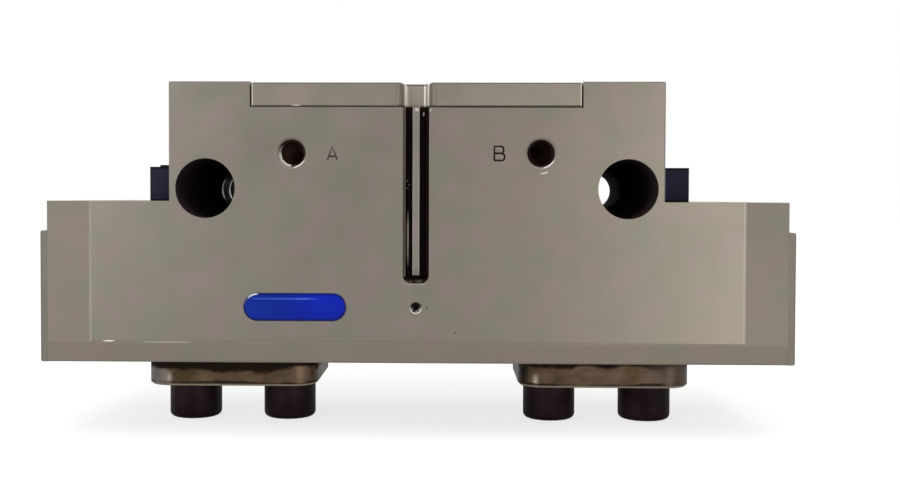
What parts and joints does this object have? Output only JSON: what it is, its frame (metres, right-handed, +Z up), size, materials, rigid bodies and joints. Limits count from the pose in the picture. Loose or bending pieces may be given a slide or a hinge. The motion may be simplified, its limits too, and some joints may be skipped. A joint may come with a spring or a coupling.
{
  "type": "pneumatic parallel gripper",
  "caption": "Two-jaw pneumatic parallel gripper with a T-shaped housing, an oval piston, a wedge hook and toothed jaw guides; the jaws slide apart together.",
  "frame": {"origin": "centre of the mounting face on top of the housing, on the plane of its lands", "axes": "+X along the jaws' travel, to the right seen from the front; -Y out of the front face with the air ports; +Z up, away from the jaws, so the jaws point down"},
  "size_m": [0.315, 0.122, 0.151],
  "materials": {
    "housing_metal": "hard anodised, satin",
    "cover_metal": "hard anodised, satin",
    "piston_metal": "turned and anodised",
    "hardened_steel": "ground",
    "jaw_steel": "hardened, with traces of grease",
    "screw_steel": "black oxide",
    "magnet": "plain",
    "bush_bronze": "bored",
    "seal_rubber": "matt",
    "bracket_plastic": "moulded",
    "badge_plastic": "domed"
  },
  "bodies": {
    "housing": {"housing": "housing_metal", "cylinder_cover": "cover_metal", "cover_seal": "seal_rubber", "cover_screws": "screw_steel", "left_end_cover": "cover_metal", "right_end_cover": "cover_metal", "end_cover_screws": "screw_steel", "rod_seal": "seal_rubber", "rod_bush": "bush_bronze", "left_sensor_bracket": "bracket_plastic", "right_sensor_bracket": "bracket_plastic", "bracket_screws": "screw_steel", "sensor_clamp_screws": "screw_steel", "purge_plug": "screw_steel", "front_badge": "badge_plastic"},
    "piston": {"piston": "piston_metal", "piston_seal": "seal_rubber", "piston_magnet": "magnet", "piston_screw": "screw_steel", "wedge_hook": "hardened_steel"},
    "left_jaw": {"left_base_jaw": "jaw_steel", "left_jaw_screws": "screw_steel", "left_centering_sleeves": "hardened_steel", "left_switching_cam": "hardened_steel", "left_cam_screws": "screw_steel"},
    "right_jaw": {"right_base_jaw": "jaw_steel", "right_jaw_screws": "screw_steel", "right_centering_sleeves": "hardened_steel", "right_switching_cam": "hardened_steel", "right_cam_screws": "screw_steel"}
  },
  "joints": [
    {"name": "piston_slide", "type": "slide", "parent": "housing", "child": "piston", "axis": [0, 0, -1], "range_m": [0, 0.025]},
    {"name": "left_jaw_slide", "type": "slide", "parent": "housing", "child": "left_jaw", "axis": [-1, 0, 0], "range_m": [0, 0.025]},
    {"name": "right_jaw_slide", "type": "slide", "parent": "housing", "child": "right_jaw", "axis": [1, 0, 0], "range_m": [0, 0.025]}
  ],
  "couplings": [
    {"joint": "left_jaw_slide", "follows": "piston_slide", "ratio": 1},
    {"joint": "right_jaw_slide", "follows": "piston_slide", "ratio": 1}
  ]
}
